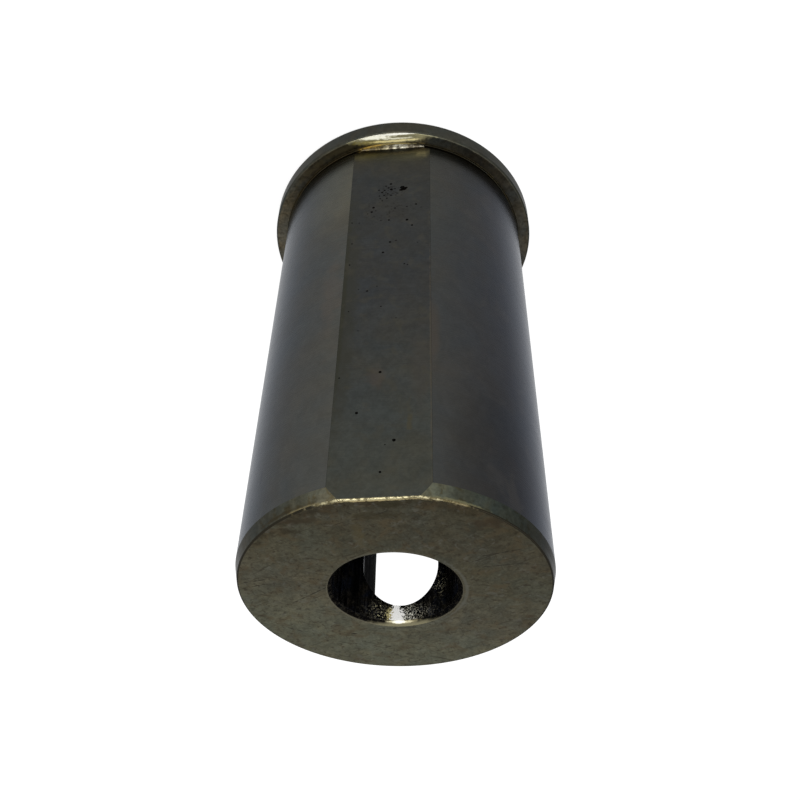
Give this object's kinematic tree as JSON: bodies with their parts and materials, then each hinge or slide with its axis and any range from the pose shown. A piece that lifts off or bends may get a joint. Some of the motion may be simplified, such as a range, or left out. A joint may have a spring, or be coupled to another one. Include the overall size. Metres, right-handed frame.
{
  "type": "boring bar sleeve",
  "caption": "Flanged round steel sleeve with a through bore, a clamping flat along one side and a long screw slot opposite to it.",
  "frame": {"origin": "centre of the flange's outer face, on which the sleeve stands", "axes": "+Z along the bore from the flange to the tail, -Y out of the clamping flat, +Y out of the screw slot"},
  "size_m": [0.0698, 0.0698, 0.1159],
  "materials": {
    "steel": "ground tool steel, dark with oil and light brown stains"
  },
  "bodies": {
    "root": {"boring_bar_sleeve": "steel"}
  },
  "joints": []
}
